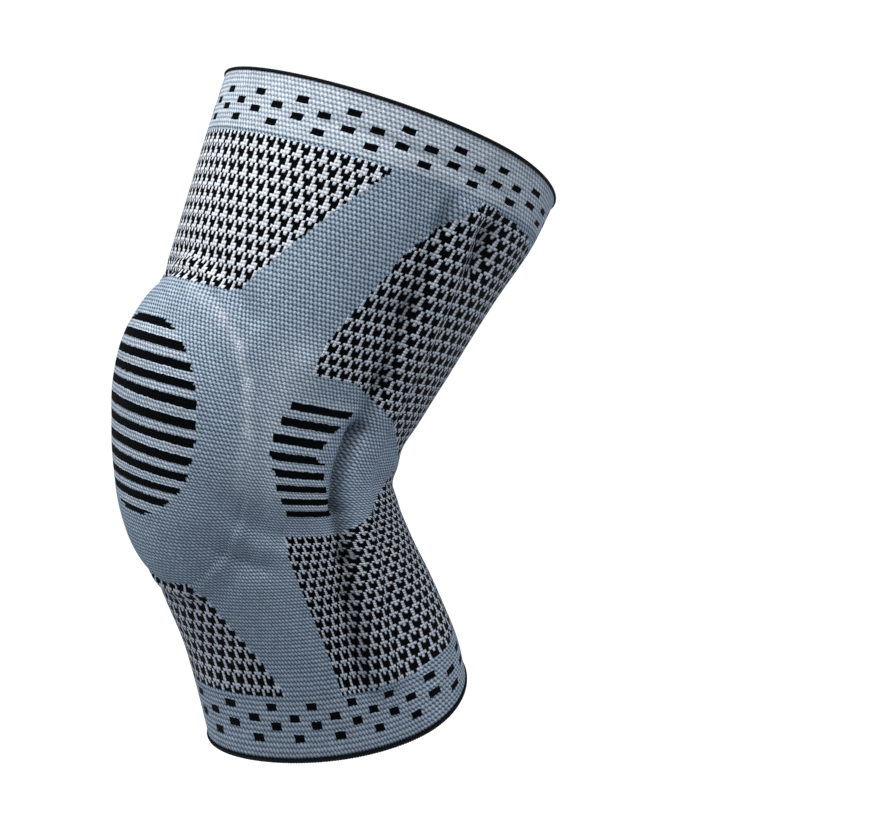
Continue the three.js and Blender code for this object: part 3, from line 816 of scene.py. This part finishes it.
for name in ("stay_outer", "stay_inner"):
    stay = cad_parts[name]
    stay.data.materials.clear()
    stay.data.materials.append(steel)

# The two edgings: black elastic yarn overlocked round each rim in close stitches, which stops the knit
# from running and grips the leg.
TOP_EDGE_HEIGHT = 1.2
BOTTOM_EDGE_HEIGHT = 2.2
EDGE_COLUMNS = 1600
EDGE_STITCH = 1.25
EDGE_LIP = 0.25
# The band's profile, inside to outside: depth below the outer face in millimetres, share of the height
# above the rim, and share of the lip's reach below it
EDGE_PROFILE = (
    (1.9, 0.0, 0.0),
    (2.3, 0.2, 0.0),
    (2.3, 0.6, 0.0),
    (1.8, 0.93, 0.0),
    (1.0, 1.0, 0.0),
    (0.2, 0.93, 0.0),
    (-0.4, 0.6, 0.0),
    (-0.6, 0.1, 0.0),
    (-0.55, 0.0, 1.0),
    (-0.25, 0.0, 1.0),
    (-0.2, 0.0, 0.3),
    (0.1, 0.0, 0.0),
)


def edge_ring(knit_row, height):
    """The profile carried along the rim: each point lies at its depth in the fabric, above the rim by a
    gap and its share of the height. The lip reaches down over the rim, and a wave of one overlock
    stitch after another draws it in and swells the band."""
    direction = 1 if knit_row > 0.5 else -1
    turn = float(turn_at(np.array(knit_row)))
    outward = np.array([0, math.sin(turn), math.cos(turn)]) * direction
    around = ((np.arange(EDGE_COLUMNS) / EDGE_COLUMNS * 2 - 1) * math.pi)[None, :]
    stitches_round = round(2 * math.pi * float(radius_at(np.array(knit_row))) / EDGE_STITCH)
    wave = 0.5 + 0.5 * np.cos(around * stitches_round)
    below, share, lip = [np.array(column)[:, None] for column in zip(*EDGE_PROFILE)]
    below = below + (below - WALL / 2) * 0.1 * wave * (share > 0)
    reach = lip * EDGE_LIP * (0.2 + 0.8 * wave)
    knit_step = reach / abs(float(along_at(np.array(1.0)) - along_at(np.array(0.99)))) * 0.01
    rows = knit_row - direction * knit_step
    lift = (CLEARANCE + share * height * (0.9 + 0.1 * wave)) * (lip < 0.5)
    point = fabric_point(around + 0 * below, rows + 0 * below, below + 0 * around)
    return point + outward * lift[..., None], direction


# Overlocked elastic: black, matt, with the twist of the yarn along each stitch
OVERLOCK = "#050608"
overlock = new_material("overlocked elastic")
overlock_place = node(overlock, "ShaderNodeTexCoord")
overlock_fibre = node(
    overlock,
    "ShaderNodeTexNoise",
    {"Vector": overlock_place.outputs["Object"], "Scale": 2200.0, "Detail": 3.0},
)
overlock_shade = node(
    overlock,
    "ShaderNodeMapRange",
    {"Value": overlock_fibre.outputs[0], "From Min": 0.3, "From Max": 0.7, "To Min": 0.6, "To Max": 1.5},
)
overlock_tint = node(
    overlock,
    "ShaderNodeVectorMath",
    {0: linear(OVERLOCK)[:3], "Scale": overlock_shade.outputs[0]},
    operation="SCALE",
)
overlock_bump = node(
    overlock, "ShaderNodeBump", {"Strength": 0.7, "Distance": 0.0002, "Height": overlock_fibre.outputs[0]}
)
overlock_body = node(
    overlock,
    "ShaderNodeBsdfPrincipled",
    {
        "Base Color": overlock_tint.outputs[0],
        "Roughness": 0.8,
        "IOR": 1.5,
        "Specular IOR Level": 0.1,
        "Normal": overlock_bump.outputs[0],
    },
)
node(overlock, "ShaderNodeOutputMaterial", {"Surface": overlock_body.outputs[0]})
for name, solid, knit_row, band_height in (
    ("thigh_edging", "top_edge", 1.0, TOP_EDGE_HEIGHT),
    ("calf_edging", "bottom_edge", 0.0, BOTTOM_EDGE_HEIGHT),
):
    ring, direction = edge_ring(knit_row, band_height)
    ring = ring if direction > 0 else ring[::-1]
    profile_uv = np.arange(len(EDGE_PROFILE) + 1) / len(EDGE_PROFILE)
    edging = add_grid(name, ring, True, True, profile_uv, np.arange(EDGE_COLUMNS + 1) / EDGE_COLUMNS)
    edging.data.materials.append(overlock)
    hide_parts(solid)
    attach(edging, "root")

# The studio: a plain pale floor half a metre below the knee, a broad soft key light from the upper left,
# a small soft light above it and slightly to its right, and a camera at the angle of the photograph.
FLOOR_BELOW = 0.5
floor_mesh = bpy.data.meshes.new("floor")
floor_corners = [(x, y, -FLOOR_BELOW) for x, y in ((-60, -60), (60, -60), (60, 60), (-60, 60))]
floor_mesh.from_pydata(floor_corners, [], [(0, 1, 2, 3)])
floor = bpy.data.objects.new("floor", floor_mesh)
bpy.context.scene.collection.objects.link(floor)
paper = new_material("white studio paper")
paper_body = node(
    paper,
    "ShaderNodeBsdfPrincipled",
    {
        "Base Color": linear("#F4F4F4"),
        "Roughness": 0.9,
        "Emission Color": linear("#FFFFFF"),
        "Emission Strength": 0.7,
    },
)
node(paper, "ShaderNodeOutputMaterial", {"Surface": paper_body.outputs[0]})
floor_mesh.materials.append(paper)
floor.visible_diffuse = False

CAMERA_AROUND = 54.0
CAMERA_UP = 9.0
CAMERA_DISTANCE = 1.5
AIM = np.array([0.0482, 0.0760, 0.0225])
PHOTO_WIDTH = 894 * 0.000454
turn_round, turn_up = math.radians(CAMERA_AROUND), math.radians(CAMERA_UP)
toward_camera = np.array(
    [math.sin(turn_round) * math.cos(turn_up), -math.cos(turn_round) * math.cos(turn_up), math.sin(turn_up)]
)
to_right = np.array([math.cos(turn_round), math.sin(turn_round), 0])
to_top = np.cross(toward_camera, to_right)


def turned(forward, name, data):
    """Adds an object that looks along a direction, with its top up."""
    thing = bpy.data.objects.new(name, data)
    bpy.context.scene.collection.objects.link(thing)
    back = -forward / np.linalg.norm(forward)
    right = np.cross([0, 0, 1], back)
    right = right / np.linalg.norm(right)
    top = np.cross(back, right)
    thing.matrix_world = Matrix([[right[i], top[i], back[i], 0] for i in range(3)] + [[0, 0, 0, 1]])
    return thing


camera_data = bpy.data.cameras.new("camera")
camera_data.sensor_width = 36
camera_data.lens = 36 * CAMERA_DISTANCE / PHOTO_WIDTH
camera = turned(-toward_camera, "camera", camera_data)
camera.location = AIM + toward_camera * CAMERA_DISTANCE
bpy.context.scene.camera = camera

# Lights: name, watts, side in metres, and where it stands from the knee: right, towards the camera, up
LIGHTS = (
    ("key", 12.0, 0.8, -0.60, 0.36, 0.86),
    ("top", 3.0, 0.4, 0.20, 0.30, 0.62),
)
for name, watts, size, right, towards, rise in LIGHTS:
    light = bpy.data.lights.new(name, "AREA")
    light.energy = watts
    light.size = size
    stands = to_right * right + toward_camera * towards + to_top * rise
    lamp = turned(-stands, name, light)
    lamp.location = AIM + stands
world = bpy.data.worlds.new("studio")
bpy.context.scene.world = world
world.use_nodes = True
world.node_tree.nodes.clear()
seen = node(world, "ShaderNodeLightPath")
soft_light = node(world, "ShaderNodeBackground", {"Color": linear("#E7F1FF"), "Strength": 0.44})
backdrop = node(world, "ShaderNodeBackground", {"Color": linear("#FFFFFF"), "Strength": 1.0})
both = node(
    world,
    "ShaderNodeMixShader",
    {0: seen.outputs["Is Camera Ray"], 1: soft_light.outputs[0], 2: backdrop.outputs[0]},
)
node(world, "ShaderNodeOutputWorld", {"Surface": both.outputs[0]})
bpy.context.scene.view_settings.view_transform = "Standard"
